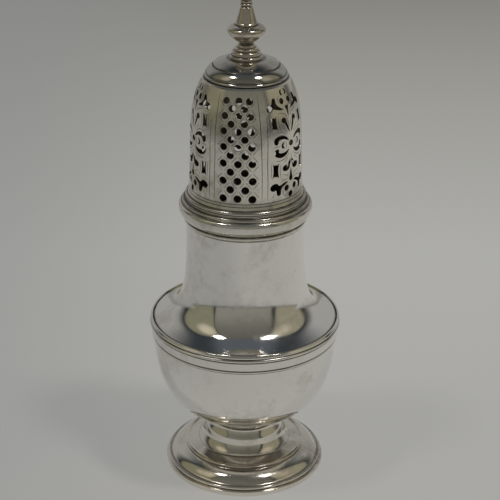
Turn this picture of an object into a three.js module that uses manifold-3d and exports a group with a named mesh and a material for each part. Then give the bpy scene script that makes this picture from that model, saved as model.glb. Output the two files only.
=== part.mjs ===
// Silver pepper pot: a spun and soldered vessel on a stepped foot, and a pierced cover that lifts off.
// Millimetres, +Z up, the pot stands on z = 0 and its axis is the Z axis.
// Azimuths are counted from the front (-Y) towards +X.
import * as THREE from 'three';
import { mergeVertices } from 'three/addons/utils/BufferGeometryUtils.js';
import Module from 'manifold-3d';

// Sheet, seams and fits
const bodyWall = 0.8;
const coverWall = 0.7;
const footWall = 0.9;
const seam = 0.1; // solder seam round a nested piece, per side
const slipFit = 0.25; // cover sleeve in the neck, per side

// Foot: a beaded wire, a stepped base and a spool
const footRadius = 24.95;
const footRimHeight = 1.65;
const footRimWidth = 2.2;
const footBead = 0.4;
const footBaseHeight = 4.75;
const stepRadius = 18.7;
const stepFace = 0.9; // upright face of the step
const spoolHeight = 5.4;
const spoolFootRadius = 18.3;
const spoolLedgeRadius = 15.9;
const spoolLedgeHeight = 2.75;
const stemRadius = 12.1;

// Stem collar under the bowl
const stemCollarHeight = 6.8;
const stemCollarTopRadius = 10.2;
const stemCollarFillet = 1.0; // plain neck above the swelling
const stemCollarWall = 1.3;

// Vessel
const bellyRadius = 28.25;
const bowlHeight = 29.4;
const bowlSeatRadius = 12.6; // flat that stands on the stem collar
const bowlStraight = 3.0; // upright wall under the belly seam
const upperBodyHeight = 41.5;
const beltHeight = 2.9; // upright wall above the belly seam
const shoulderDrop = 0.8; // rounding from the belt onto the shoulder
const neckRadius = 17.85;
const neckStraight = 9.5;

// Moulded band over the belly seam
const girdleBelow = 2.6;
const girdleAbove = 3.4;
const girdleDepth = 1.1;
const girdleReedHeight = 1.15;
const girdleReedSwell = 0.25;

// Moulded collar round the mouth of the neck
const collarHeight = 6.3;
const collarDepth = 2.1;
const collarReedHeight = 1.2;
const collarReedDepth = 0.65;

// Cover: sleeve, stepped rim, pierced wall, cap and its reeded wire
const sleeveDepth = 11.0;
const coverRimHeight = 3.0;
const coverRimReach = 2.05; // rim beyond the sleeve
const coverRimLand = 0.45; // top face of the rim beyond the sleeve
const shellHeight = 35.5;
const shellFootFlare = 0.6;
const shellFlareHeight = 4.5;
const shellTaper = 0.35; // from above the flare to mid height
const shellHeadRadius = 12.2;
const shellLedge = 1.6; // level ledge that carries the cap wire
const capWireHeight = 1.45;
const capWireSwell = 0.35;
const capInset = 0.5;
const capRise = 4.0;
const capLineRadius = 9.7; // ring scored round the dome

// Finial and the peg that holds it
const finialBaseRadius = 4.9;
const pegRadius = 1.3;
const pegLength = 2.4;
const pegFit = 0.1; // per side
const finialNeckRadius = 1.94;
const discRadius = 5.56;
const discHeight = 8.2; // middle of the disc above the cap
const balusterRadius = 2.96;
const balusterTopRadius = 1.66;
const balusterHeight = 5.1;
const knobRadius = 2.35;
const knobStemHeight = 1.6;
const knobTipHeight = 1.2;

// Pierced pattern: lattice panels and scroll panels by turns, between upright straps
const panelPairs = 3;
const latticeAzimuth = -8; // middle of the front lattice panel, degrees
const latticeRows = 13;
const latticeColumns = 3;
const latticeColumnPitch = 15; // degrees, the width of one facet of the wall
const latticeFootMargin = 3.6;
const latticeHeadMargin = 3.1;
const latticePitchRatio = 0.72; // row pitch at the top over row pitch at the foot
const latticeHoleFoot = 2.05;
const latticeHoleHead = 1.75;
const latticeHoleSides = 6;

// Fineness of the turned surfaces
const bodySides = 28;
const coverSides = 28;
const wallSides = 24; // one facet to a lattice column
const finialSides = 14;
const sawTolerance = 0.01; // points of the sawn wall closer to a straight edge than this are dropped

// Levels, from the table up
const footRimTop = footRimHeight;
const stepTop = footRimTop + footBaseHeight;
const spoolTop = stepTop + spoolHeight;
const bowlFoot = spoolTop + stemCollarHeight;
const bellySeam = bowlFoot + bowlHeight;
const lip = bellySeam + upperBodyHeight;
const shellFoot = lip + coverRimHeight;
const shellTop = shellFoot + shellHeight;
const capFoot = shellTop + capWireHeight;
const capTop = capFoot + capRise;

// Radii that follow from the fits
const girdleBore = bellyRadius + seam;
const girdleRadius = girdleBore + girdleDepth;
const collarBore = neckRadius + seam;
const collarRadius = collarBore + collarDepth;
const sleeveRadius = neckRadius - bodyWall - slipFit;
const rimBore = sleeveRadius + seam;
const rimRadius = rimBore + coverRimReach;
const shellFootRadius = rimBore + coverRimLand;
const shellBodyRadius = shellFootRadius - shellFootFlare;
const capRadius = shellHeadRadius - capInset;
const pegHole = pegRadius + pegFit;

const at = (radius, height) => new THREE.Vector2(radius, height);

// One outline from points and runs of points, without repeats.
function outline(...runs) {
  return runs.flat().filter((p, i, all) => i === 0 || p.distanceTo(all[i - 1]) > 1e-4);
}

// A smooth stretch through its two handles.
function sweep(from, handle1, handle2, to, steps) {
  return new THREE.CubicBezierCurve(from, handle1, handle2, to).getPoints(steps);
}

// A smooth stretch round one corner.
function round(from, corner, to, steps) {
  return new THREE.QuadraticBezierCurve(from, corner, to).getPoints(steps);
}

// A reed: a stretch from point to point that swells to its right by a given amount.
function reed(from, to, swell, steps) {
  const across = to.clone().sub(from);
  const side = at(across.y, -across.x).normalize();
  const crown = from.clone().lerp(to, 0.5).addScaledVector(side, 2 * swell);
  return round(from, crown, to, steps);
}

// The section of a sheet of even wall, from its outside outline. A level end keeps its height
// and a plumb end keeps its radius, so that each end meets its neighbour flat. The hidden inside
// is coarser: it follows the ends, the point beside the head and every second one from there.
function sheet(outside, wall, footEnd, headEnd) {
  const last = outside.length - 1;
  const normals = outside.slice(1).map((p, i) => {
    const along = p.clone().sub(outside[i]).normalize();
    return at(-along.y, along.x);
  });
  const inside = outside.map((p, i) => {
    if (i === 0 || i === last) {
      const n = normals[i === 0 ? 0 : last - 1];
      const end = i === 0 ? footEnd : headEnd;
      return end === 'level' ? at(p.x + wall / n.x, p.y) : at(p.x, p.y + wall / n.y);
    }
    const n = normals[i - 1].clone().add(normals[i]).normalize();
    return p.clone().addScaledVector(n, wall / Math.max(n.dot(normals[i]), 0.5));
  });
  return [...outside, ...inside.filter((_, i) => i === 0 || i === last || (last - i) % 2 === 1).reverse()];
}

// A solid of revolution from its section, which is closed unless it ends on the axis.
function turned(section, sides) {
  const points = section.map((p) => p.clone());
  const onAxis = points[0].x < 1e-6 && points[points.length - 1].x < 1e-6;
  if (!onAxis) points.push(points[0].clone());
  if (THREE.ShapeUtils.area(points) < 0) points.reverse();
  return new THREE.LatheGeometry(points, sides).rotateX(Math.PI / 2);
}

// Foot rim: a flat wire with a beaded edge, which the pot stands on.
function footRimSection() {
  const edge = footRadius - footBead;
  const inner = footRadius - footRimWidth;
  return outline(at(inner, 0), reed(at(edge, 0), at(edge, footRimHeight), footBead, 4),
    at(inner, footRimHeight));
}

// Foot base: a shallow double curve up to an upright step, with a ledge for the spool.
function footBaseSection() {
  const edge = footRadius - footBead;
  const run = edge - stepRadius;
  const faceFoot = stepTop - stepFace;
  const rise = faceFoot - footRimTop;
  const middle = at(stepRadius + 0.48 * run, footRimTop + 0.56 * rise);
  const outside = outline(
    at(edge, footRimTop),
    sweep(at(edge, footRimTop + 0.3), at(edge - 0.3 * run, footRimTop + 0.3 * rise),
      at(middle.x + 0.14 * run, middle.y - 0.2 * rise), middle, 4),
    sweep(middle, at(middle.x - 0.16 * run, middle.y + 0.22 * rise),
      at(stepRadius + 0.12 * run, faceFoot - 0.14 * rise), at(stepRadius + 0.05, faceFoot), 3),
    at(stepRadius, stepTop - 0.1),
    at(stepRadius - 0.1, stepTop),
    at(spoolFootRadius - 2 * footWall, stepTop),
  );
  return sheet(outside, footWall, 'level', 'plumb');
}

// Spool: a rolled edge, a low flare, a rounded ledge and the sweep up to the stem.
function spoolSection() {
  const ledge = stepTop + spoolLedgeHeight;
  const outside = outline(
    reed(at(spoolFootRadius, stepTop), at(spoolFootRadius - 0.2, stepTop + 0.6), 0.08, 2),
    sweep(at(spoolFootRadius - 0.35, stepTop + 0.75), at(spoolLedgeRadius + 0.9, stepTop + 0.95),
      at(spoolLedgeRadius + 0.15, stepTop + 1.3), at(spoolLedgeRadius, stepTop + 2.1), 3),
    round(at(spoolLedgeRadius, ledge - 0.4), at(spoolLedgeRadius, ledge),
      at(spoolLedgeRadius - 0.7, ledge + 0.1), 2),
    sweep(at(spoolLedgeRadius - 0.7, ledge + 0.1), at(stemRadius + 1.4, ledge + 0.35),
      at(stemRadius + 0.1, ledge + 0.8), at(stemRadius, ledge + 1.9), 3),
    at(stemRadius, spoolTop),
  );
  return sheet(outside, footWall, 'level', 'level');
}

// Stem collar: a swelling that carries the bowl, open through the middle.
function stemCollarSection() {
  const bore = stemCollarTopRadius - stemCollarWall;
  const shoulder = bowlFoot - stemCollarFillet;
  return outline(
    at(bore, spoolTop),
    at(stemRadius, spoolTop),
    sweep(at(stemRadius, spoolTop + 0.4), at(stemRadius, spoolTop + 0.55 * stemCollarHeight),
      at(stemCollarTopRadius + 0.8, shoulder - 0.4), at(stemCollarTopRadius, shoulder), 4),
    at(stemCollarTopRadius, bowlFoot),
    at(bore, bowlFoot),
  );
}

// Bowl: the lower half of the vessel, up to the belly seam.
function bowlSection() {
  const straightFoot = bellySeam - bowlStraight;
  const rise = straightFoot - bowlFoot;
  const outside = outline(
    at(0, bowlFoot),
    sweep(at(bowlSeatRadius, bowlFoot), at(0.871 * bellyRadius, bowlFoot + 0.087 * rise),
      at(bellyRadius, straightFoot - 0.417 * rise), at(bellyRadius, straightFoot), 9),
    at(bellyRadius, bellySeam),
  );
  return sheet(outside, bodyWall, 'plumb', 'level');
}

// Upper body: a short belt, the shoulder and the neck in one piece.
function upperBodySection() {
  const belt = bellySeam + beltHeight;
  const shoulderEdge = at(bellyRadius - 0.5, belt + shoulderDrop);
  const neckFoot = lip - neckStraight;
  const rise = neckFoot - shoulderEdge.y;
  const run = shoulderEdge.x - neckRadius;
  const outside = outline(
    at(bellyRadius, bellySeam),
    round(at(bellyRadius, belt), at(bellyRadius, belt + 0.6 * shoulderDrop), shoulderEdge, 2),
    sweep(shoulderEdge, at(neckRadius + 0.12 * run, shoulderEdge.y + 0.067 * rise),
      at(neckRadius, neckFoot - 0.69 * rise), at(neckRadius, neckFoot), 10),
    at(neckRadius, lip),
  );
  return sheet(outside, bodyWall, 'level', 'level');
}

// Girdle: a fillet, an upright fascia and two reeds over the belly seam.
function girdleSection() {
  const foot = bellySeam - girdleBelow;
  const head = bellySeam + girdleAbove;
  const fascia = girdleRadius - 0.5;
  const reedFoot = head - 2 * girdleReedHeight;
  return outline(
    at(girdleBore, foot),
    reed(at(fascia - 0.2, foot), at(fascia - 0.2, foot + 0.75), 0.08, 2),
    at(fascia - 0.35, foot + 0.95),
    at(fascia, foot + 1.15),
    at(fascia, reedFoot - 0.15),
    reed(at(girdleRadius - girdleReedSwell, reedFoot), at(girdleRadius - girdleReedSwell, head - girdleReedHeight),
      girdleReedSwell, 3),
    reed(at(girdleRadius - girdleReedSwell - 0.15, head - girdleReedHeight), at(girdleRadius - 0.75, head),
      girdleReedSwell, 3),
    at(girdleBore, head),
  );
}

// Neck collar: a small reed under a broad rounded moulding, level with the lip.
function neckCollarSection() {
  const foot = lip - collarHeight;
  const reedEdge = collarBore + collarReedDepth - 0.1;
  return outline(
    at(collarBore, foot),
    at(collarBore + 0.2, foot),
    reed(at(reedEdge - 0.1, foot + 0.3), at(reedEdge, foot + collarReedHeight), 0.12, 2),
    at(reedEdge - 0.25, foot + collarReedHeight + 0.2),
    sweep(at(reedEdge, foot + 1.7), at(collarRadius - 0.25, foot + 2.6), at(collarRadius + 0.15, lip - 2.2),
      at(collarRadius - 0.12, lip - 0.9), 4),
    at(collarRadius - 0.55, lip - 0.25),
    at(collarRadius - 1.0, lip),
    at(collarBore, lip),
  );
}

// Cover sleeve: a plain tube that slides inside the neck.
function coverSleeveSection() {
  const inner = sleeveRadius - coverWall;
  return outline(
    at(inner, lip - sleeveDepth),
    at(sleeveRadius - 0.2, lip - sleeveDepth),
    at(sleeveRadius, lip - sleeveDepth + 0.4),
    at(sleeveRadius, shellFoot),
    at(inner, shellFoot),
  );
}

// Cover rim: two reeds with a hollow between them, stepping in to the pierced wall.
function coverRimSection() {
  const lowReed = lip + 0.95;
  const topReed = shellFoot - 1.25;
  const highEdge = shellFootRadius + 0.25;
  return outline(
    at(rimBore, lip),
    reed(at(rimRadius - 0.15, lip), at(rimRadius - 0.3, lowReed), 0.2, 2),
    sweep(at(rimRadius - 0.95, lowReed + 0.15), at(highEdge + 0.3, lowReed + 0.3),
      at(highEdge + 0.15, topReed - 0.4), at(highEdge + 0.35, topReed), 2),
    reed(at(highEdge + 0.35, topReed), at(highEdge + 0.1, shellFoot - 0.2), 0.22, 2),
    at(shellFootRadius, shellFoot),
    at(rimBore, shellFoot),
  );
}

// Outside of the pierced wall: a small flare at the foot, a slight taper and a rounded head.
function shellOutside() {
  const flareTop = shellFoot + shellFlareHeight;
  const middle = shellFoot + 0.52 * shellHeight;
  const middleRadius = shellBodyRadius - shellTaper;
  return outline(
    round(at(shellFootRadius, shellFoot), at(shellBodyRadius, shellFoot + shellFlareHeight / 3),
      at(shellBodyRadius, flareTop), 2),
    sweep(at(middleRadius, middle), at(middleRadius - 0.2, middle + 0.5 * (shellTop - middle)),
      at(shellHeadRadius + 2.6, shellTop - 4.2), at(shellHeadRadius + 0.75, shellTop - 0.45), 4),
    at(shellHeadRadius, shellTop),
    at(shellHeadRadius - shellLedge, shellTop),
  );
}

// Cap wire: the reeded ring between the pierced wall and the cap.
function capWireSection() {
  const bore = shellHeadRadius - shellLedge + 0.2;
  const edge = shellHeadRadius - capWireSwell;
  const grooveHeight = shellTop + 0.65 * capWireHeight;
  return outline(
    at(bore, shellTop),
    reed(at(edge, shellTop), at(edge, grooveHeight), capWireSwell, 3),
    at(edge - 0.1, grooveHeight + 0.1),
    at(capRadius, capFoot),
    at(bore, capFoot),
  );
}

// Cap: a low dome with a scored ring and a flat seat for the finial, drilled for its peg.
function capSection() {
  const lineHeight = capFoot + 0.52 * capRise;
  const outside = outline(
    sweep(at(capRadius, capFoot), at(capRadius - 0.15, capFoot + 0.5), at(capLineRadius + 0.8, lineHeight - 0.9),
      at(capLineRadius, lineHeight), 3),
    at(capLineRadius - 0.2, lineHeight + 0.4),
    sweep(at(capLineRadius - 0.5, lineHeight + 0.5), at(capLineRadius - 1.8, capTop - 0.75),
      at(finialBaseRadius + 1.6, capTop - 0.15), at(finialBaseRadius, capTop), 3),
    at(pegHole, capTop),
  );
  return sheet(outside, coverWall, 'level', 'plumb');
}

// Finial: a stepped bell, a disc and a slender baluster with a ball on top, and the peg below.
function finialSection() {
  const bellTop = at(2.7, capTop + 3.6);
  const disc = capTop + discHeight;
  const balusterFoot = disc + 2.1;
  const balusterTop = balusterFoot + balusterHeight;
  const knobFoot = balusterTop + knobStemHeight;
  const knob = knobFoot + 0.8 * knobRadius;
  return outline(
    at(0, capTop - pegLength),
    at(pegRadius, capTop - pegLength),
    at(pegRadius, capTop),
    reed(at(finialBaseRadius - 0.1, capTop), at(finialBaseRadius - 0.15, capTop + 0.75), 0.12, 2),
    at(finialBaseRadius - 0.5, capTop + 1.1),
    sweep(at(finialBaseRadius - 0.55, capTop + 1.35), at(finialBaseRadius - 0.7, capTop + 2.1),
      at(3.9, capTop + 3.0), bellTop, 3),
    round(at(finialNeckRadius + 0.25, bellTop.y + 0.2), at(finialNeckRadius - 0.15, bellTop.y + 0.7),
      at(finialNeckRadius + 0.25, disc - 3.2), 2),
    sweep(at(finialNeckRadius + 0.25, disc - 3.2), at(3.3, disc - 2.7), at(3.7, disc - 2.2),
      at(3.9, disc - 1.8), 2),
    sweep(at(4.25, disc - 1.5), at(discRadius + 0.2, disc - 0.8), at(discRadius + 0.3, disc + 0.7),
      at(4.3, disc + 1.6), 4),
    at(balusterRadius + 0.25, balusterFoot),
    round(at(balusterRadius, balusterFoot + 0.3),
      at(balusterTopRadius + 0.75, balusterFoot + 0.5 * balusterHeight),
      at(balusterTopRadius, balusterTop), 3),
    reed(at(balusterTopRadius + 0.1, balusterTop + 0.2), at(balusterTopRadius + 0.1, knobFoot - 0.3),
      0.15, 2),
    at(balusterTopRadius - 0.1, knobFoot),
    new THREE.EllipseCurve(0, knob, knobRadius, knobRadius, -0.25 * Math.PI, 0.4 * Math.PI, false)
      .getPoints(6),
    at(0.4, knob + knobRadius + 0.4 * knobTipHeight),
    at(0, knob + knobRadius + knobTipHeight),
  );
}

// Outside radius of a turned outline at a height.
function radiusAt(points, height) {
  const i = points.findIndex((p, k) => k > 0 && p.y >= height);
  if (i < 0) return points[points.length - 1].x;
  const [low, high] = [points[i - 1], points[i]];
  return low.x + (high.x - low.x) * (height - low.y) / (high.y - low.y);
}

// A sawn opening, corner by corner anticlockwise.
const cut = (...corners) => corners.map(([x, y]) => new THREE.Vector2(x, y));

// A round opening.
function drilled(x, y, diameter, sides) {
  const turn = 2 * Math.PI / sides;
  return Array.from({ length: sides }, (_, i) => new THREE.Vector2(
    x + 0.5 * diameter * Math.cos((i + 0.5) * turn), y + 0.5 * diameter * Math.sin((i + 0.5) * turn)));
}

// A swallow-tailed slot: a waisted upright bar with a notch in each end.
function swallowTail(x, y, width, height, notch) {
  const waist = 0.36 * width;
  const half = 0.5 * height;
  return [[0.5 * width, -half], [waist, -half + notch], [waist, half - notch], [0.5 * width, half], [0, half - notch],
    [-0.5 * width, half], [-waist, half - notch], [-waist, -half + notch], [-0.5 * width, -half], [0, -half + notch]]
    .map(([dx, dy]) => new THREE.Vector2(x + dx, y + dy));
}

// The openings of a scroll panel, in units of the drawing from its centre line and above the wall's foot.
const onCentre = [
  drilled(0, 3.1, 1.8, 6), // round hole under the drops
  // lower drop
  cut([0, 7.1], [0.65, 7.4], [0.75, 8.3], [0.15, 11.8], [-0.15, 11.8], [-0.75, 8.3], [-0.65, 7.4]),
  drilled(0, 18.7, 1.9, 6), // oval between the scrolls
  // upper drop
  cut([0, 30.1], [-0.7, 29.7], [-0.65, 28.8], [-0.15, 26.6], [0.15, 26.6], [0.65, 28.8], [0.7, 29.7]),
];
const besideCentre = [
  drilled(1.7, 5.2, 1.8, 6), // round hole beside the lower drop
  cut([1.2, 7.2], [3.4, 6.3], [3.5, 4.3], [4.5, 3.75], [5.4, 4.4], [5.6, 5.3], [6.8, 5.3], [7.45, 6.4], [6.6, 7.3],
    [5.1, 7.0], [3.9, 7.3], [1.2, 7.5]), // lower leaf
  swallowTail(5.9, 11.4, 2.2, 4.6, 0.7), // lower slot
  // lower tear
  cut([2.4, 10.7], [3.0, 11.3], [2.6, 12.4], [1.5, 12.8], [0.7, 14.2], [0.35, 14.1], [0.7, 12.2],
    [1.4, 11.1]),
  cut([1.1, 17.0], [2.0, 15.6], [3.6, 14.8], [5.2, 15.0], [6.2, 16.1], [6.0, 17.7], [4.9, 18.1], [4.4, 17.1],
    [4.1, 16.2], [2.6, 16.3], [1.3, 17.3]), // lower scroll
  cut([1.3, 19.4], [2.6, 20.5], [4.0, 20.6], [4.5, 19.6], [5.1, 18.9], [6.2, 19.4], [6.3, 20.9], [5.2, 21.9],
    [3.6, 22.0], [2.0, 21.1], [1.1, 19.7]), // upper scroll
  cut([0.4, 21.9], [0.8, 21.8], [1.5, 23.8], [2.5, 24.7], [3.4, 25.3], [3.5, 26.4], [2.7, 27.1], [1.7, 26.3],
    [0.9, 24.8]), // upper tear
  swallowTail(6.1, 25.6, 2.0, 4.2, 0.7), // upper slot
  cut([2.2, 28.85], [4.5, 29.1], [5.9, 29.6], [6.8, 29.05], [8.0, 29.5], [7.8, 30.6], [6.6, 31.0], [6.2, 32.3],
    [5.2, 32.55], [4.75, 31.5], [4.9, 30.6], [4.0, 29.95], [2.2, 29.15]), // upper leaf
  drilled(2.5, 31.3, 1.7, 6), // round hole beside the upper drop
];

// One punch, square through the wall at its own azimuth.
function punch(points, azimuth, across, height, up) {
  const centre = points.reduce((sum, p) => sum.add(p), new THREE.Vector2()).divideScalar(points.length);
  const scale = new THREE.Vector2(across, up);
  const shape = new THREE.Shape(points.map((p) => p.clone().sub(centre).multiply(scale)));
  const reachIn = shellHeadRadius - shellLedge - 3 * coverWall;
  const reachOut = shellFootRadius + 2 * coverWall;
  const geometry = new THREE.ExtrudeGeometry(shape, { depth: reachOut - reachIn, bevelEnabled: false });
  const tangent = new THREE.Vector3(Math.cos(azimuth), Math.sin(azimuth), 0);
  const outward = new THREE.Vector3(Math.sin(azimuth), -Math.cos(azimuth), 0);
  const basis = new THREE.Matrix4().makeBasis(tangent, new THREE.Vector3(0, 0, 1), outward);
  basis.setPosition(outward.x * reachIn, outward.y * reachIn, height);
  return geometry.applyMatrix4(basis);
}

// All the holes of one lattice panel: full rows and rows set between them, closer towards the head.
function latticePunches(panelAzimuth) {
  const punches = [];
  const span = shellHeight - latticeFootMargin - latticeHeadMargin;
  const bend = (1 - latticePitchRatio) / (1 + latticePitchRatio);
  for (let row = 0; row < latticeRows; row++) {
    const t = row / (latticeRows - 1);
    const height = shellFoot + latticeFootMargin + span * t * (1 + bend * (1 - t));
    const diameter = THREE.MathUtils.lerp(latticeHoleFoot, latticeHoleHead, t);
    const columns = latticeColumns - row % 2;
    for (let column = 0; column < columns; column++) {
      const offset = (column - 0.5 * (columns - 1)) * latticeColumnPitch;
      const azimuth = THREE.MathUtils.degToRad(panelAzimuth + offset);
      punches.push(punch(drilled(0, 0, diameter, latticeHoleSides), azimuth, 1, height, 1));
    }
  }
  return punches;
}

// All the openings of one scroll panel, the side ones mirrored about its centre line. The drawing is made
// for a wall of 35.5 units high and 16.5 units from the axis.
function scrollPunches(panelAzimuth, outside) {
  const up = shellHeight / 35.5;
  const perRadius = 1 / 16.5;
  const mirrored = besideCentre.map((points) => points.map((p) => new THREE.Vector2(-p.x, p.y)).reverse());
  return [...onCentre, ...besideCentre, ...mirrored].map((points) => {
    const centre = points.reduce((sum, p) => sum.add(p), new THREE.Vector2()).divideScalar(points.length);
    const height = shellFoot + centre.y * up;
    const azimuth = THREE.MathUtils.degToRad(panelAzimuth) + centre.x * perRadius;
    return punch(points, azimuth, radiusAt(outside, height) * perRadius, height, up);
  });
}

const wasm = await Module();
wasm.setup();

function toSolid(geometry) {
  const bare = geometry.clone();
  bare.deleteAttribute('normal');
  bare.deleteAttribute('uv');
  const welded = mergeVertices(bare, 1e-5);
  return new wasm.Manifold(new wasm.Mesh({
    numProp: 3,
    vertProperties: new Float32Array(welded.attributes.position.array),
    triVerts: new Uint32Array(welded.index.array),
  }));
}

function toGeometry(solid) {
  const mesh = solid.getMesh();
  const geometry = new THREE.BufferGeometry();
  geometry.setAttribute('position', new THREE.BufferAttribute(mesh.vertProperties, 3));
  geometry.setIndex(new THREE.BufferAttribute(mesh.triVerts, 1));
  geometry.computeVertexNormals();
  return geometry;
}

// Pierced wall: the turned wall less every punch of the lattice and scroll panels.
function piercedShell() {
  const outside = shellOutside();
  const firstEdge = THREE.MathUtils.degToRad(latticeAzimuth) + 0.5 * Math.PI / wallSides;
  const blank = toSolid(turned(sheet(outside, coverWall, 'level', 'plumb'), wallSides).rotateZ(firstEdge));
  const panelPitch = 360 / panelPairs;
  const punches = [];
  for (let pair = 0; pair < panelPairs; pair++) {
    const azimuth = latticeAzimuth + pair * panelPitch;
    punches.push(...latticePunches(azimuth), ...scrollPunches(azimuth + 0.5 * panelPitch, outside));
  }
  const pierced = blank.subtract(wasm.Manifold.union(punches.map(toSolid)));
  return toGeometry(pierced.asOriginal().simplify(sawTolerance));
}

const silver = { color: 0xcdcac3, metalness: 1 };
const finishes = {
  foot: { ...silver, roughness: 0.16 },
  body: { ...silver, roughness: 0.12 },
  moulding: { ...silver, color: 0xc4c0b7, roughness: 0.14 },
  cover: { ...silver, color: 0xbfbab0, roughness: 0.2 },
  finial: { ...silver, color: 0xb9b3a6, roughness: 0.18 },
};

const pot = new THREE.Group();
function add(name, geometry, finish) {
  const mesh = new THREE.Mesh(geometry, new THREE.MeshStandardMaterial(finishes[finish]));
  mesh.name = name;
  pot.add(mesh);
}

add('foot_rim', turned(footRimSection(), bodySides), 'foot');
add('foot_base', turned(footBaseSection(), bodySides), 'foot');
add('spool', turned(spoolSection(), bodySides), 'foot');
add('stem_collar', turned(stemCollarSection(), bodySides), 'moulding');
add('bowl', turned(bowlSection(), bodySides), 'body');
add('upper_body', turned(upperBodySection(), bodySides), 'body');
add('girdle_band', turned(girdleSection(), bodySides), 'moulding');
add('neck_collar', turned(neckCollarSection(), bodySides), 'moulding');
add('cover_sleeve', turned(coverSleeveSection(), coverSides), 'cover');
add('cover_rim', turned(coverRimSection(), coverSides), 'moulding');
add('pierced_shell', piercedShell(), 'cover');
add('cap_wire', turned(capWireSection(), coverSides), 'moulding');
add('cap', turned(capSection(), coverSides), 'cover');
add('finial', turned(finialSection(), finialSides), 'finial');

export default pot;
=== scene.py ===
# Silver pepper pot: finely turned silver pieces, a pierced and engraved cover, and a plain studio table.
import math
import bpy
from mathutils import Matrix, Vector


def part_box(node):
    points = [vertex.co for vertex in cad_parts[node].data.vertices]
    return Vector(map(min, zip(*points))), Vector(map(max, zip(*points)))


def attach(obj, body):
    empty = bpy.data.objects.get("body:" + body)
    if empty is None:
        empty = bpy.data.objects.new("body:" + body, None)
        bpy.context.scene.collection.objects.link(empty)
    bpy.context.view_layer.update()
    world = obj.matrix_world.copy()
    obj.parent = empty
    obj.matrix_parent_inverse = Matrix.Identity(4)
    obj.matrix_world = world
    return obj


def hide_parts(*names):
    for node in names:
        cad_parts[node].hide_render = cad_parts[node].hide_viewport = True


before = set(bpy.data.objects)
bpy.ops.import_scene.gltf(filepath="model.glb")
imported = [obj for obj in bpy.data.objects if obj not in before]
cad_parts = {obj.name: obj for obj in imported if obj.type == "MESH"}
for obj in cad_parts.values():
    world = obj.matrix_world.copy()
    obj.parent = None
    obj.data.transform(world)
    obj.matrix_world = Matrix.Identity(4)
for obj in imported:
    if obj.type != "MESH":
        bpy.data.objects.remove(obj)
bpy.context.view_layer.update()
MM = 0.001


# Camera: its lens in pixels of the photo, its place in metres, its angles in degrees

PICTURE_WIDTH = 500.0
FOCAL_LENGTH = 1519.0
SENSOR_WIDTH = 36.0  # millimetres
SIDE_SHIFT = 0.0095  # of the picture's width
VIEWPOINT = (0.0, -0.420, 0.2653)
LOOK_DOWN = 24.66
ROLL = 0.3


def set_camera():
    lens = bpy.data.cameras.new("viewpoint")
    lens.sensor_width = SENSOR_WIDTH
    lens.lens = FOCAL_LENGTH / PICTURE_WIDTH * SENSOR_WIDTH
    lens.shift_x = SIDE_SHIFT
    lens.clip_start = 0.05
    camera = bpy.data.objects.new("viewpoint", lens)
    bpy.context.scene.collection.objects.link(camera)
    tilt = Matrix.Rotation(math.radians(90.0 - LOOK_DOWN), 4, "X")
    roll = Matrix.Rotation(math.radians(ROLL), 4, "Z")
    camera.matrix_world = Matrix.Translation(VIEWPOINT) @ tilt @ roll
    bpy.context.scene.camera = camera


set_camera()


# Outlines, as points of (radius, height) in millimetres

SAME_POINT = 1e-3  # points closer than this are one
SHARPEST_BEND = 0.6  # keeps the inner corner of a sharp bend from running far out


def weighted(weights, points):
    return tuple(sum(weight * point[axis] for weight, point in zip(weights, points)) for axis in (0, 1))


def bent_line(handles, steps):
    """A curve from the first handle to the last, pulled by those between."""
    top = len(handles) - 1
    points = []
    for step in range(steps + 1):
        t = step / steps
        weights = [math.comb(top, i) * t ** i * (1 - t) ** (top - i) for i in range(top + 1)]
        points.append(weighted(weights, handles))
    return points


def sweep(start, handle1, handle2, end, steps):
    return bent_line((start, handle1, handle2, end), steps)


def rounding(start, corner, end, steps):
    return bent_line((start, corner, end), steps)


def reed(start, end, swell, steps):
    """A round bead that stands out by its swell."""
    across = Vector((end[0] - start[0], end[1] - start[1]))
    side = Vector((across.y, -across.x)).normalized() * 2 * swell
    crown = ((start[0] + end[0]) / 2 + side.x, (start[1] + end[1]) / 2 + side.y)
    return rounding(start, crown, end, steps)


def outline(*runs):
    """One run of points without repeats, from points and runs of points."""
    points = []
    for run in runs:
        for point in run if isinstance(run, list) else [run]:
            if not points or math.dist(point, points[-1]) > SAME_POINT:
                points.append(point)
    return points


def lifted(section, level):
    """A section that was drawn from the level it stands on."""
    return [(radius, level + height) for radius, height in section]


def sheet_end(point, normal, wall, cut):
    radius, height = point
    return (radius + wall / normal.x, height) if cut == "level" else (radius, height + wall / normal.y)


def sheet(outside, wall, foot_cut, head_cut, carved=None):
    """The closed section of a sheet from its outside; a level end keeps its height, a plumb end its radius.
    Where the outside has notches, it comes a second time with them, carved."""
    normals = []
    for start, end in zip(outside, outside[1:]):
        along = Vector((end[0] - start[0], end[1] - start[1])).normalized()
        normals.append(Vector((-along.y, along.x)))
    inside = [sheet_end(outside[0], normals[0], wall, foot_cut)]
    for (radius, height), before, after in zip(outside[1:-1], normals, normals[1:]):
        normal = (before + after).normalized()
        reach = wall / max(normal.dot(after), SHARPEST_BEND)
        inside.append((radius + normal.x * reach, height + normal.y * reach))
    inside.append(sheet_end(outside[-1], normals[-1], wall, head_cut))
    return (carved or outside) + inside[::-1]


# Making pieces

TURNS = 168  # facets round a turned piece
TURNED_CRISP, WALL_CRISP = 28.0, 20.0  # degrees: edges that bend more stay crisp
POINT_GAP = 2e-7  # metres: a piece's points closer than this are one
ON_AXIS = 1e-6


def clear_selection():
    if bpy.context.object and bpy.context.object.mode != "OBJECT":
        bpy.ops.object.mode_set(mode="OBJECT")
    bpy.ops.object.select_all(action="DESELECT")


def work_on(piece):
    clear_selection()
    bpy.context.view_layer.objects.active = piece
    piece.select_set(True)


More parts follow.
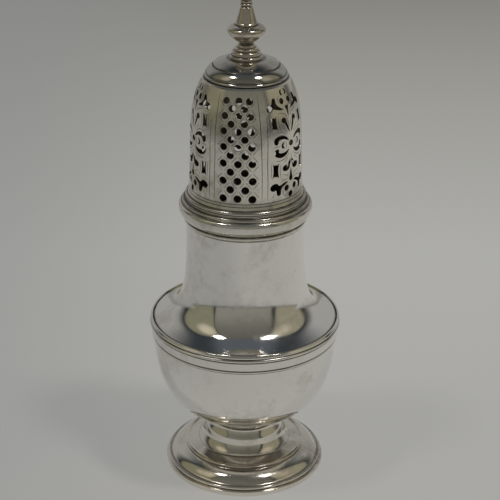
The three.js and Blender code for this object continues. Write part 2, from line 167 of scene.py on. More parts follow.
def merge_points(piece, gap):
    """Makes one of points that are closer than the gap, and turns all faces outwards."""
    work_on(piece)
    bpy.ops.object.mode_set(mode="EDIT")
    bpy.ops.mesh.select_all(action="SELECT")
    bpy.ops.mesh.remove_doubles(threshold=gap)
    bpy.ops.mesh.normals_make_consistent(inside=False)
    bpy.ops.object.mode_set(mode="OBJECT")


def finish_mesh(piece, crisp):
    merge_points(piece, POINT_GAP)
    bpy.ops.object.shade_smooth_by_angle(angle=math.radians(crisp))
    return piece


def open_at_axis(piece):
    """Takes out the edge between the ring's two ends, which both lie on the axis."""
    ends = {0, len(piece.data.vertices) - 1}
    bpy.ops.object.mode_set(mode="EDIT")
    bpy.ops.mesh.select_mode(type="EDGE")
    bpy.ops.mesh.select_all(action="DESELECT")
    bpy.ops.object.mode_set(mode="OBJECT")
    for edge in piece.data.edges:
        edge.select = set(edge.vertices) == ends
    bpy.ops.object.mode_set(mode="EDIT")
    bpy.ops.mesh.delete(type="EDGE")
    bpy.ops.mesh.select_mode(type="VERT")
    bpy.ops.object.mode_set(mode="OBJECT")


def turned(name, section):
    """A ring of points shaped to the section and spun round the pot's axis."""
    clear_selection()
    bpy.ops.mesh.primitive_circle_add(vertices=len(section), radius=0.01)
    piece = bpy.context.object
    piece.name = piece.data.name = name
    for vertex, (radius, height) in zip(piece.data.vertices, section):
        vertex.co = (0.0, -radius * MM, height * MM)
    if section[0][0] < ON_AXIS and section[-1][0] < ON_AXIS:
        open_at_axis(piece)
    bpy.ops.object.mode_set(mode="EDIT")
    bpy.ops.mesh.select_all(action="SELECT")
    bpy.ops.mesh.spin(steps=TURNS, angle=2 * math.pi, center=(0, 0, 0), axis=(0, 0, 1))
    return finish_mesh(piece, TURNED_CRISP)


def dress(piece, body, node, slot, *finishes):
    """Gives a piece its finishes and its body, and hides the solid that it stands for. Its slot is not used.
    """
    for finish in finishes:
        piece.data.materials.append(finish)
    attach(piece, body)
    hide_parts(node)


# Levels and radii in millimetres: the levels and two radii read from the solids to a hundredth, the rest
# given

def foot_of(node):
    return round(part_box(node)[0].z / MM, 2)


def head_of(node):
    return round(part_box(node)[1].z / MM, 2)


def radius_of(node):
    return round(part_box(node)[1].x / MM, 2)


STEP_TOP = head_of("foot_base")
SPOOL_TOP = head_of("spool")
BOWL_FOOT = foot_of("bowl")
SEAM = head_of("bowl")
LIP = head_of("upper_body")
WALL_FOOT = foot_of("pierced_shell")
WALL_TOP = head_of("pierced_shell")
CAP_FOOT = foot_of("cap")
CAP_TOP = head_of("cap")

BELLY = radius_of("bowl")
SLEEVE = radius_of("cover_sleeve")
NECK = 17.85
STEM = 12.1
STEP_EDGE = 18.44

SOLDER = 0.1  # between nested pieces
HAIR = 0.02  # keeps stacked faces out of one plane
BODY_WALL = 0.8
COVER_WALL = 0.7
FOOT_WALL = 0.9


# Sections of the turned pieces, from the foot to the finial

def foot_rim_section():
    bore, head = 22.75, head_of("foot_rim")
    return outline(
        (bore, 0.0), (24.6, 0.0), (24.78, 0.02), (24.92, 0.12), (24.95, 0.3), (24.96, 1.3),
        rounding((24.95, 1.4), (24.85, 1.56), (24.5, 1.6), 6), (24.2, 1.63), (24.0, head), (bore, head))


def foot_base_section():
    foot, face_foot, waist, bore = head_of("foot_rim"), STEP_TOP - 0.4, (22.75, 3.5), 16.5
    curve = outline(
        sweep((23.9, 2.75), (23.5, 2.76), (23.1, 2.85), waist, 12),
        sweep(waist, (22.15, 4.4), (21.0, 5.5), (18.9, face_foot - 0.03), 16))
    plain = outline(
        (24.1, foot), (24.1, 2.5), curve, (18.7, face_foot), (18.7, STEP_TOP), (bore, STEP_TOP))
    carved = outline(
        (24.02, foot), (24.03, 1.98), (24.2, 2.06), rounding((24.3, 2.1), (24.42, 2.66), (23.95, 2.74), 7),
        curve, (18.5, face_foot), (STEP_EDGE, face_foot + 0.1), (STEP_EDGE, STEP_TOP), (bore, STEP_TOP))
    return sheet(plain, FOOT_WALL, "level", "plumb", carved)


def spool_section():
    outside = outline(
        (STEP_EDGE, 0.0), (18.46, 0.06), (18.62, 0.1), rounding((18.7, 0.14), (18.7, 0.4), (18.4, 0.42), 7),
        sweep((18.3, 0.43), (17.2, 0.62), (15.9, 0.9), (14.6, 1.2), 14), (14.5, 1.26),
        sweep((14.4, 1.3), (13.6, 1.72), (12.5, 2.8), (12.18, 4.2), 20), (STEM, SPOOL_TOP - STEP_TOP))
    return sheet(lifted(outside, STEP_TOP), FOOT_WALL, "level", "level")


def stem_collar_section():
    bore, head = 8.9, BOWL_FOOT - SPOOL_TOP - HAIR
    return lifted(outline(
        (bore, 0.0), (STEM, 0.0), sweep((12.08, 0.3), (12.0, 1.1), (11.2, 1.6), (10.85, 3.1), 14),
        rounding((10.85, 3.15), (10.8, 3.45), (10.4, 3.5), 5), (10.35, 3.62),
        sweep((10.45, 3.7), (11.3, 3.8), (11.5, 5.3), (10.75, 5.75), 14),
        (10.4, 5.85), (10.4, head), (bore, head)), SPOOL_TOP)


def bowl_section():
    outside = outline(
        (0.0, BOWL_FOOT),
        sweep((12.6, BOWL_FOOT), (24.6, 20.9), (BELLY, 34.0), (BELLY, 45.0), 44),
        (BELLY, 46.5), (BELLY, SEAM))
    section = sheet(outside, BODY_WALL, "plumb", "level")
    return [(max(radius, 0.0), height) for radius, height in section]


def upper_body_section():
    belt_top, shoulder = (27.85, 51.24), (23.69, 53.36)
    outside = outline(
        (BELLY, SEAM), (BELLY, 50.8), rounding((BELLY, 50.9), (BELLY, 51.08), belt_top, 6),
        sweep(belt_top, (26.6, 51.77), (25.1, 52.45), shoulder, 18),
        sweep(shoulder, (19.1, 56.35), (NECK, 62.4), (NECK, 80.0), 48),
        (NECK, 85.0), (NECK, LIP))
    return sheet(outside, BODY_WALL, "level", "level")


def girdle_section():
    foot, head = foot_of("girdle_band"), head_of("girdle_band")
    back, face = BELLY + SOLDER, 28.95
    return outline(
        (back, foot), (28.64, foot), reed((28.74, foot + 0.05), (28.74, foot + 0.58), 0.1, 6),
        (28.58, foot + 0.66), (28.54, foot + 0.74), (28.62, foot + 0.84),
        rounding((28.8, foot + 0.9), (face, foot + 0.92), (face, foot + 1.1), 3),
        (face, head - 2.5), (face - 0.12, head - 2.42), (face - 0.14, head - 2.34),
        reed((29.08, head - 2.26), (29.08, head - 1.34), 0.34, 10),
        (face, head - 1.27), (face - 0.02, head - 1.19),
        reed((29.06, head - 1.12), (29.02, head - 0.3), 0.22, 10),
        rounding((28.98, head - 0.22), (face, head - 0.02), (28.75, head), 4),
        (28.56, head), (28.38, head - 0.3), (back, head - 0.5))


def neck_collar_section():
    foot, bore, rim = foot_of("neck_collar"), NECK + SOLDER, 20.05
    edge, brow = bore + 0.55, (rim - 0.1, LIP - 0.95)
    return outline(
        (bore, foot), (bore + 0.2, foot), (bore + 0.3, foot + 0.06),
        reed((edge - 0.12, foot + 0.3), (edge, foot + 1.15), 0.13, 8),
        (edge - 0.2, foot + 1.25), (edge - 0.25, foot + 1.4),
        sweep((edge - 0.05, foot + 1.6), (rim - 0.3, foot + 2.5), (rim + 0.2, LIP - 2.3), brow, 18),
        rounding(brow, (rim - 0.25, LIP - 0.3), (rim - 0.9, LIP - 0.12), 8),
        (rim - 1.0, LIP), (bore, LIP))


def cover_sleeve_section():
    foot, head, bore = foot_of("cover_sleeve"), WALL_FOOT - HAIR, SLEEVE - COVER_WALL
    return outline(
        (bore, foot + 0.1), rounding((SLEEVE - 0.5, foot), (SLEEVE, foot), (SLEEVE, foot + 0.5), 5),
        (SLEEVE, head), (bore, head))


def cover_rim_section():
    bore, head = SLEEVE + SOLDER, WALL_FOOT - HAIR
    edge = bore + 0.45
    return outline(
        (bore, LIP), (18.7, LIP), reed((18.8, LIP + 0.05), (18.65, LIP + 0.92), 0.22, 8), (18.45, LIP + 0.98),
        sweep((18.1, LIP + 1.05), (edge + 0.55, LIP + 1.2), (edge + 0.4, LIP + 1.3),
              (edge + 0.5, LIP + 1.7), 8),
        (edge + 0.52, LIP + 1.76), reed((edge + 0.6, LIP + 1.82), (edge + 0.3, head - 0.2), 0.24, 8),
        (edge + 0.1, head - 0.1), (edge - 0.02, head), (bore, head))


def cap_wire_section():
    bore, head = 10.8, CAP_FOOT - WALL_TOP
    return lifted(outline(
        (bore, 0.0), (11.8, 0.0), reed((11.86, 0.04), (11.86, 0.95), 0.34, 10),
        (11.72, 1.02), (11.66, 1.12), (11.8, 1.2),
        rounding((11.86, 1.25), (11.84, head - 0.02), (11.7, head), 4), (bore, head)), WALL_TOP)


def cap_section():
    line = CAP_FOOT + 2.08  # the scored ring
    outside = outline(
        sweep((11.68, CAP_FOOT), (11.6, CAP_FOOT + 0.4), (10.75, line - 0.58), (9.75, line - 0.02), 16),
        (9.66, line - 0.06), (9.58, line + 0.02), (9.56, line + 0.3), (9.45, line + 0.4),
        sweep((9.3, line + 0.46), (7.9, CAP_TOP - 0.75), (6.5, CAP_TOP - 0.15), (4.9, CAP_TOP), 18),
        (3.0, CAP_TOP), (1.4, CAP_TOP))
    return sheet(outside, COVER_WALL, "level", "plumb")


def knob_points(centre, radius):
    """The knob from its neck almost to its top, where the small turned tip begins."""
    turns = [math.radians(-45.0 + 117.0 * i / 16) for i in range(17)]
    points = [(radius * math.cos(turn), centre + radius * math.sin(turn)) for turn in turns]
    return [point for point in points if point[0] > 0.75]


def finial_section():
    """Drawn from the cap's top, with its peg below."""
    peg_foot, peg, skirt_foot = foot_of("finial") - CAP_TOP, 1.3, 0.01
    stalk_foot, stalk_top, knob_foot, knob_radius = 10.3, 15.4, 17.0, 2.35
    knob = knob_foot + 0.8 * knob_radius
    return lifted(outline(
        (0.0, peg_foot), (peg, peg_foot), (peg, skirt_foot), (4.72, skirt_foot), (4.8, 0.06),
        sweep((4.82, 0.1), (4.84, 0.5), (4.78, 0.85), (4.4, 0.98), 8), (4.28, 1.0), (4.24, 1.1),
        sweep((4.28, 1.18), (4.34, 1.7), (4.2, 2.1), (3.8, 2.26), 8), (3.56, 2.32), (3.5, 2.42),
        sweep((3.55, 2.5), (3.56, 2.85), (3.4, 3.1), (3.0, 3.25), 7), (2.78, 3.32), (2.72, 3.4),
        sweep((2.76, 3.46), (2.74, 3.75), (2.6, 3.92), (2.3, 4.04), 6), (2.06, 4.1), (1.96, 4.2), (1.94, 4.5),
        sweep((2.0, 4.62), (2.9, 4.95), (5.25, 6.3), (5.52, 8.1), 20),
        sweep((5.52, 8.1), (5.62, 8.95), (4.9, 9.5), (3.55, 9.72), 14), (3.24, 9.8), (3.14, 9.92),
        reed((3.18, 10.0), (3.1, stalk_foot + 0.12), 0.06, 4), (3.0, stalk_foot + 0.2),
        sweep((2.94, stalk_foot + 0.3), (2.62, stalk_foot + 1.7), (2.15, stalk_foot + 3.1),
              (1.95, stalk_foot + 4.0), 12),
        rounding((1.95, stalk_foot + 4.0), (1.84, stalk_foot + 4.6), (1.5, stalk_foot + 4.8), 6),
        (1.46, stalk_top - 0.2), (1.5, stalk_top - 0.05),
        reed((1.66, stalk_top + 0.04), (1.66, stalk_top + 0.62), 0.16, 6),
        (1.5, stalk_top + 0.7), (1.48, stalk_top + 0.8),
        reed((1.62, stalk_top + 0.88), (1.6, knob_foot - 0.2), 0.12, 5), (1.5, knob_foot - 0.1),
        knob_points(knob, knob_radius),
        sweep((0.66, knob + 2.28), (0.5, knob + 2.45), (0.55, knob + 2.9), (0.42, knob + 3.2), 6),
        (0.28, knob + 3.42), (0.0, knob + 3.5)), CAP_TOP)


# The pierced wall: a third is drawn and cut flat, engraved, curved round the pot and copied.
# Its drawings are in millimetres: across, as the width lies at DRAWN_RADIUS, and up from the wall's foot.

DRAWN_RADIUS = 16.5
THIRD = math.radians(120.0) * DRAWN_RADIUS
LATTICE_AZIMUTH = -8.0  # degrees, where the middle of the first lattice panel stands
SCROLL_CENTRE = THIRD / 2
PLATE_START = math.radians(-27.0) * DRAWN_RADIUS
PLATE_END = math.radians(93.0) * DRAWN_RADIUS
WALL_HEIGHT = WALL_TOP - WALL_FOOT
CHAMFER = 0.05
TIP = True  # a sharp point of a sawn opening

LATTICE_ROWS = 13
LATTICE_FOOT, LATTICE_RISE = 3.6, 28.8  # the lowest row's height, and from there to the highest
LATTICE_CLOSING = 0.1628  # how much the rows close up towards the head
LATTICE_LEAN = 0.2  # how much the right half narrows towards the head
HOLE_STEP = 7.5  # degrees between neighbouring columns
HOLE_RADIUS, HOLE_LOSS = 1.16, 0.16  # in the lowest row, and how much less in the highest
HOLE_WANDER = 0.07  # off the even grid, as by hand
HOLE_POINTS = 24
SMOOTH_STEPS = 3  # between two points of a drawing

STROKE_HALF_WIDTH = 0.085
LONG_STROKE = 1.35  # how much broader a stroke of more than four points is
STROKE_RISE = 0.012  # the engraving bars' middle above the wall's face
BORDER_GROOVES = (1.1, 2.0)  # turned round the whole wall, above its foot
GROOVE_HALF_WIDTH, GROOVE_DEPTH = 0.1, 0.08

COLUMN_STEP = 0.95  # between the upright cuts that let the plate bend
MERGE_GAP = 1e-5  # points of the plate closer than this are one, or lie on a cut
INSIDE, CREASE = 1, 2  # places among the wall's materials, after its finish

# Openings on the right half of a scroll panel, and two drops on its centre line

LOWER_LEAF = [
    (2.83, 6.30), (3.71, 5.70), (3.99, 4.87), (4.02, 3.93), (4.59, 3.50), (5.31, 3.87), (5.55, 4.63),
    (5.72, 5.40), (6.55, 5.20), (7.37, 5.53), (7.73, 6.37), (7.34, 7.03), (6.75, 7.37), (6.02, 7.50),
    (5.28, 7.30), (5.01, 6.83), (4.33, 6.63), (3.51, 6.97), (2.35, 7.30), (1.24, 7.10, TIP)]
LOWER_TEAR = [
    (0.29, 13.97, TIP), (0.20, 13.03), (0.48, 12.20), (0.76, 11.20), (1.59, 10.63), (2.59, 10.63),
    (3.36, 11.10), (3.51, 11.77), (3.05, 12.30), (2.18, 12.47), (1.46, 12.70), (0.94, 13.37)]
LOWER_SCROLL = [
    (1.08, 17.17, TIP), (1.43, 16.20), (2.52, 15.37), (4.01, 15.03), (5.34, 15.30), (6.26, 15.87),
    (6.54, 16.53), (6.46, 17.37), (5.90, 17.83), (5.24, 17.77), (4.89, 17.37), (5.08, 16.90),
    (4.54, 16.50), (3.37, 16.40), (2.14, 16.63)]
UPPER_SCROLL = [
    (6.58, 20.10), (6.53, 20.70), (6.04, 21.23), (4.92, 21.63), (3.75, 21.67), (2.60, 21.33),
    (1.63, 20.67), (0.87, 19.67, TIP), (1.98, 20.10), (2.97, 20.47), (3.97, 20.50), (4.77, 20.33),
    (5.06, 19.83), (5.24, 19.33), (5.79, 19.10), (6.38, 19.43)]
UPPER_TEAR = [
    (3.30, 25.87), (3.08, 26.43), (2.37, 26.77), (1.67, 26.53), (1.39, 25.97), (1.33, 25.23),
    (1.00, 24.50), (0.61, 23.50), (0.25, 22.00, TIP), (0.85, 22.63), (1.44, 23.63), (1.90, 24.53),
    (2.21, 25.10), (2.79, 25.27), (3.17, 25.50)]
UPPER_LEAF = [
    (7.83, 29.77), (7.54, 30.43), (6.76, 30.73), (5.94, 31.03), (5.58, 31.83), (5.26, 32.43),
    (4.65, 32.57), (4.20, 32.30), (4.20, 31.57), (4.08, 30.87), (3.53, 30.23), (2.60, 29.60),
    (1.35, 29.03, TIP), (2.65, 28.97), (3.81, 29.17), (4.79, 29.43), (5.54, 29.63), (5.93, 29.27),
    (6.40, 28.90), (7.11, 28.83), (7.68, 29.17)]
HEAD_CRESCENT = [
    (1.57, 33.70), (1.24, 34.20), (0.30, 34.40, TIP), (0.77, 33.90), (0.84, 33.37), (0.42, 32.93, TIP),
    (1.16, 32.87), (1.54, 33.23)]
INNER_CRESCENT = [
    (2.74, 17.77, TIP), (3.49, 17.70), (3.99, 18.20), (3.96, 18.87), (3.51, 19.47), (2.70, 19.63, TIP),
    (3.23, 19.03), (3.19, 18.20)]
LOWER_SLOT = [
    (4.85, 9.00, TIP), (5.45, 9.55), (5.95, 9.45), (6.45, 9.75), (7.05, 9.10, TIP), (6.80, 10.60),
    (6.78, 12.10), (7.00, 13.70, TIP), (6.50, 13.15), (5.95, 13.25), (5.50, 13.05), (4.90, 13.60, TIP),
    (5.12, 12.10), (5.10, 10.60)]
UPPER_SLOT = [
    (4.95, 23.20, TIP), (5.50, 23.95), (6.00, 23.80), (6.45, 24.10), (7.00, 23.50, TIP), (6.80, 24.80),
    (6.80, 26.30), (7.02, 27.70, TIP), (6.45, 27.20), (5.95, 27.30), (5.55, 27.05), (4.90, 27.60, TIP),
    (5.15, 26.20), (5.15, 24.80)]
LOWER_DROP = [
    (0.00, 11.35, TIP), (-0.30, 10.20), (-0.46, 9.03), (-0.78, 8.17), (-0.72, 7.50), (0.00, 7.13),
    (0.72, 7.50), (0.78, 8.17), (0.46, 9.03), (0.30, 10.20)]
UPPER_DROP = [
    (0.00, 29.80), (-0.50, 30.10), (-0.80, 29.60), (-0.40, 28.70), (-0.24, 27.70), (0.00, 26.60, TIP),
    (0.24, 27.70), (0.40, 28.70), (0.80, 29.60), (0.50, 30.10)]

# Engraved strokes on the right half of a scroll panel, and one on its centre line
SCROLL_STROKES = [
    [(5.9, 14.35), (4.6, 14.15), (3.2, 14.35), (1.9, 15.0), (0.9, 15.9)],
    [(3.2, 13.25), (2.3, 13.85), (1.3, 14.6)],
    [(4.3, 13.1), (4.45, 11.6), (4.35, 10.0), (4.0, 8.4)],
    [(7.55, 9.2), (7.4, 11.4), (7.6, 13.8)],
    [(3.5, 9.7), (2.4, 9.5), (1.3, 8.9)],
    [(4.2, 7.75), (2.9, 8.1), (1.2, 7.9)],
    [(6.9, 18.5), (5.6, 18.55), (4.5, 18.75)],
    [(2.3, 17.35), (2.15, 18.6), (2.25, 19.6)],
    [(5.9, 22.35), (4.4, 22.6), (3.0, 22.3), (1.8, 21.6)],
    [(3.3, 24.1), (2.5, 23.1), (1.3, 21.9)],
    [(4.3, 27.6), (4.45, 26.0), (4.35, 24.4), (3.9, 23.1)],
    [(7.6, 23.4), (7.45, 25.4), (7.65, 27.8)],
    [(4.3, 28.35), (3.0, 28.15), (1.6, 27.7), (0.9, 26.9)],
    [(0.75, 25.9), (0.5, 24.9), (0.35, 23.8)],
    [(3.0, 30.75), (3.2, 31.6), (2.9, 32.4), (2.2, 32.95)],
    [(0.0, 12.6), (0.1, 14.0), (0.0, 15.6)],
    [(3.2, 4.6), (2.9, 3.4), (1.9, 2.9)],
    [(6.2, 4.4), (6.6, 3.6), (7.4, 3.3)]]
STRAP_LINES = [  # beside the lattice: left and right edge of each strap
    [(-7.05, 2.9), (-7.1, 9.0), (-7.0, 16.0), (-7.1, 23.0), (-7.0, 29.0), (-7.05, 33.9)],
    [(-8.75, 2.9), (-8.85, 8.0), (-8.75, 14.0), (-8.85, 20.0), (-8.7, 27.6)],
    [(7.05, 2.9), (7.1, 9.0), (7.0, 16.0), (6.75, 23.0), (6.45, 29.0), (6.1, 33.9)],
    [(8.75, 2.9), (8.85, 8.0), (8.75, 14.0), (8.85, 20.0), (8.7, 27.6)]]
ROUND_HOLES = [  # middle across and up, half width, half height
    (0.0, 3.1, 0.92, 0.9), (0.0, 18.7, 0.98, 0.86), (1.8, 5.3, 0.9, 0.92), (-1.8, 5.3, 0.9, 0.92),
    (1.7, 31.35, 0.88, 0.86), (-1.7, 31.35, 0.88, 0.86)]


def hand_lean(x, y):
    """A scroll panel's sawing wanders a little from its centre line."""
    stations = ((0, -0.3), (6, 0.0), (18, 0.25), (24, 0.0), (29, -0.5), (33, -0.8), (36, -0.8))
    for (low, at_low), (high, at_high) in zip(stations, stations[1:]):
        if y <= high:
            return x + at_low + (at_high - at_low) * (y - low) / (high - low)


def in_scroll_panel(points):
    return [(SCROLL_CENTRE + hand_lean(x, y), y) for x, y in points]


def mirrored(points):
    return [(-x, y) for x, y in points]


def half_way(start, end):
    return (end[0] - start[0]) / 2, (end[1] - start[1]) / 2


def eased_run(start, leave, arrive, end):
    """A smooth stretch from start, short of end, by the directions in which it leaves and arrives."""
    run = []
    for step in range(SMOOTH_STEPS):
        t = step / SMOOTH_STEPS
        weights = (2 * t ** 3 - 3 * t * t + 1, t ** 3 - 2 * t * t + t, 3 * t * t - 2 * t ** 3, t ** 3 - t * t)
        run.append(weighted(weights, (start, leave, end, arrive)))
    return run


def smooth_loop(points):
    """A closed outline smoothed between its points, with its tips kept sharp."""
    count = len(points)
    loop = []
    for i in range(count):
        before, start, end, after = (points[(i + k) % count] for k in (-1, 0, 1, 2))
        leave = (0.0, 0.0) if TIP in start[2:] else half_way(before, end)
        arrive = (0.0, 0.0) if TIP in end[2:] else half_way(start, after)
        loop += eased_run(start, leave, arrive, end)
    return loop


def smooth_line(points):
    """An open line smoothed between its points."""
    padded = [points[0], *points, points[-1]]
    line = []
    for before, start, end, after in zip(padded, padded[1:], padded[2:], padded[3:]):
        line += eased_run(start, half_way(before, end), half_way(start, after), end)
    return line + [points[-1]]


def round_hole(x, y, half_width, half_height):
    turns = (2 * math.pi * k / HOLE_POINTS for k in range(HOLE_POINTS))
    return [(x + half_width * math.cos(turn), y + half_height * math.sin(turn)) for turn in turns]


def wall_lines():
    """The wall's outside and inside, point for point."""
    outside = outline(
        rounding((17.35, WALL_FOOT), (16.75, WALL_FOOT + 1.5), (16.75, WALL_FOOT + 4.5), 10),
        sweep((16.4, WALL_FOOT + 18.46), (16.2, WALL_FOOT + 26.98), (14.8, WALL_FOOT + 31.3),
              (12.95, WALL_TOP - 0.45), 24),
        (12.2, WALL_TOP))
    section = sheet(outside, COVER_WALL, "level", "level")
    return outside, section[len(outside):][::-1]


def on_wall(lines, across, up, depth):
    """The place in the curved wall of a point of the flat plate."""
    outside, inside = lines
    height = min(max(WALL_FOOT + up, WALL_FOOT), WALL_TOP)
    i = next(k for k in range(1, len(outside)) if outside[k][1] >= height - 1e-9)
    t = (height - outside[i - 1][1]) / (outside[i][1] - outside[i - 1][1])
    on_face = weighted((1 - t, t), (outside[i - 1], outside[i]))
    on_back = weighted((1 - t, t), (inside[i - 1], inside[i]))
    share = depth / COVER_WALL
    radius, level = weighted((1 - share, share), (on_face, on_back))
    turn = math.radians(LATTICE_AZIMUTH) + across / DRAWN_RADIUS
    return (radius * math.sin(turn) * MM, -radius * math.cos(turn) * MM, level * MM)


def wall_radius(lines, up):
    x, y, _ = on_wall(lines, 0.0, up, 0.0)
    return math.hypot(x, y) / MM


def lattice_up(share):
    return LATTICE_FOOT + LATTICE_RISE * share * (1 + LATTICE_CLOSING * (1 - share))


def lattice_across(column, share):
    across = math.radians(HOLE_STEP * column) * DRAWN_RADIUS
    return across - max(across, 0.0) * LATTICE_LEAN * share * share


def lattice_holes(lines):
    """Round holes in rows that shift by half a step, shrinking and closing up towards the head."""
    holes = []
    for row in range(LATTICE_ROWS):
        share = row / (LATTICE_ROWS - 1)
        up = lattice_up(share)
        radius = wall_radius(lines, up)
        slope = radius - wall_radius(lines, up - 1.0)
        size = HOLE_RADIUS - HOLE_LOSS * share
        for column in ((-2, 0, 2) if row % 2 == 0 else (-1, 1)):
            x = lattice_across(column, share) + HOLE_WANDER * math.sin(5.1 * row + 2.3 * column)
            y = up + HOLE_WANDER * math.cos(3.7 * row + 4.9 * column)
            holes.append(round_hole(x, y, size * DRAWN_RADIUS / radius, size / math.hypot(1.0, slope)))
    return holes


def scroll_openings():
    """The drawn openings and their mirror images, the drops on the centre line, and the small round holes."""
    loops = []
    for drawing in (LOWER_LEAF, LOWER_TEAR, LOWER_SCROLL, UPPER_SCROLL, UPPER_TEAR, UPPER_LEAF, HEAD_CRESCENT,
                    INNER_CRESCENT, LOWER_SLOT, UPPER_SLOT):
        loop = smooth_loop(drawing)
        loops += [loop, mirrored(loop)]
    loops += [smooth_loop(LOWER_DROP), smooth_loop(UPPER_DROP)]
    loops += [round_hole(*hole) for hole in ROUND_HOLES]
    return [in_scroll_panel(loop) for loop in loops]


def lattice_strokes():
    """Short diagonal lines between the lattice holes."""
    strokes = []
    for row in range(LATTICE_ROWS - 1):
        share = row / (LATTICE_ROWS - 1)
        low, high = lattice_up(share), lattice_up((row + 1) / (LATTICE_ROWS - 1))
        for column in range(-3, 3):
            left, right = lattice_across(column, share), lattice_across(column + 1, share)
            start, end = ((left, low), (right, high)) if (column + row) % 2 else ((left, high), (right, low))
            strokes.append([
                (start[0] + (end[0] - start[0]) * t, start[1] + (end[1] - start[1]) * t)
                for t in (0.14, 0.5, 0.86)])
    return strokes


def on_plate(stroke):
    margin = 0.3
    places = [x for x, _ in stroke]
    return PLATE_START + margin < min(places) and max(places) < PLATE_END - margin


def engraved_strokes():
    """All engraved lines of one third that lie clear of the plate's ends."""
    strokes = lattice_strokes()
    for stroke in SCROLL_STROKES:
        strokes.append(in_scroll_panel(stroke))
        if max(abs(x) for x, _ in stroke) > 0.2:
            strokes.append(in_scroll_panel(mirrored(stroke)))
    for line in STRAP_LINES:
        strokes += [line, [(x + THIRD, y) for x, y in line]]
    return [stroke for stroke in strokes if on_plate(stroke)]


def drawn_curve(name, dimensions, bevel):
    clear_selection()
    bpy.ops.curve.primitive_bezier_curve_add(radius=1.0)
    drawing = bpy.context.object
    drawing.name = drawing.data.name = name
    drawing.data.dimensions = dimensions
    drawing.data.splines.clear()
    drawing.data.bevel_depth = bevel
    return drawing


def add_line(drawing, points, closed, level=0.0, widths=None):
    line = drawing.data.splines.new("POLY")
    line.points.add(len(points) - 1)
    for i, (x, y) in enumerate(points):
        line.points[i].co = (x, y, level, 1.0)
        if widths:
            line.points[i].radius = widths[i]
    line.use_cyclic_u = closed


def as_mesh(drawing):
    work_on(drawing)
    bpy.ops.object.convert(target="MESH")
    return bpy.context.object


def flat_plate(lines):
    """The plate with its chamfered openings, a little wider than a third."""
    plate = drawn_curve("pierced_wall", "2D", CHAMFER)
    plate.data.fill_mode = "BOTH"
    plate.data.bevel_resolution = 1
    plate.data.offset = -CHAMFER
    plate.data.extrude = COVER_WALL / 2 - CHAMFER
    left, right = PLATE_START - 1.0, PLATE_END + 1.0
    add_line(plate, [(left, 0.0), (right, 0.0), (right, WALL_HEIGHT), (left, WALL_HEIGHT)], True)
    for loop in lattice_holes(lines) + scroll_openings():
        add_line(plate, loop, True)
    return as_mesh(plate)


def taper(share):
    """How wide a stroke is by the share of its length: full in the middle, slim at both ends."""
    return 0.25 + 0.75 * math.sin(math.pi * (0.06 + 0.88 * share)) ** 0.7


def engraving():
    """Slim pointed bars of a square section on edge, which cut grooves where they meet the plate's face."""
    bars = drawn_curve("engraving", "3D", STROKE_HALF_WIDTH)
    bars.data.bevel_resolution = 0
    bars.data.use_fill_caps = True
    bars.data.twist_mode = "Z_UP"
    for stroke in engraved_strokes():
        line = smooth_line(stroke)
        breadth = LONG_STROKE if len(stroke) > 4 else 1.0
        widths = [breadth * taper(i / (len(line) - 1)) for i in range(len(line))]
        add_line(bars, line, False, COVER_WALL / 2 + STROKE_RISE, widths)
    return as_mesh(bars)


def engrave(plate, bars):
    work_on(plate)
    cut = plate.modifiers.new("engraving", "BOOLEAN")
    cut.operation = "DIFFERENCE"
    cut.solver = "MANIFOLD"
    cut.material_mode = "INDEX"
    cut.object = bars
    bpy.ops.object.modifier_apply(modifier=cut.name)
    bpy.data.objects.remove(bars)


def levels_between(low, high, step):
    count = round((high - low) / step)
    return [low + (high - low) * i / count for i in range(1, count)]


def cut_rows():
    """Heights at which the plate is cut across to bend, closer under the cap and at the border grooves."""
    bend, wide_step, close_step, nearest = 30.0, 1.0, 0.5, 0.06
    sides = (-GROOVE_HALF_WIDTH, 0.0, GROOVE_HALF_WIDTH)
    groove_rows = [groove + side for groove in BORDER_GROOVES for side in sides]
    rows = levels_between(0.0, bend, wide_step) + [bend] + levels_between(bend, WALL_HEIGHT, close_step)
    rows = [row for row in rows if min(abs(row - groove_row) for groove_row in groove_rows) > nearest]
    return sorted(rows + groove_rows)


def bisect(place, normal, clear_outer=False, clear_inner=False):
    bpy.ops.mesh.select_all(action="SELECT")
    bpy.ops.mesh.bisect(plane_co=place, plane_no=normal, threshold=MERGE_GAP,
                        clear_outer=clear_outer, clear_inner=clear_inner)


def cut_grid(plate, rows):
    """Trims the plate to a third, clears needless edges and cuts a grid into it, so that it bends evenly."""
    work_on(plate)
    bpy.ops.object.mode_set(mode="EDIT")
    bisect((PLATE_START, 0, 0), (1, 0, 0), clear_inner=True)
    bisect((PLATE_END, 0, 0), (1, 0, 0), clear_outer=True)
    bpy.ops.mesh.select_all(action="SELECT")
    bpy.ops.mesh.dissolve_limited(angle_limit=math.radians(0.5), delimit={"MATERIAL"})
    for across in levels_between(PLATE_START, PLATE_END, COLUMN_STEP):
        bisect((across, 0, 0), (1, 0, 0))
    for up in rows:
        bisect((0, up, 0), (0, 1, 0))
    bpy.ops.object.mode_set(mode="OBJECT")


def from_groove(up):
    return min(abs(up - groove) for groove in BORDER_GROOVES)


def colour_faces(plate):
    """Dull silver inside and deep in the openings, tarnish in the border grooves."""
    dull_from, bright_to = 0.12, 0.06
    for face in plate.data.polygons:
        depth = COVER_WALL / 2 - face.center.z
        if depth > dull_from:
            face.material_index = INSIDE
        if depth < bright_to and from_groove(face.center.y) < GROOVE_HALF_WIDTH:
            face.material_index = CREASE


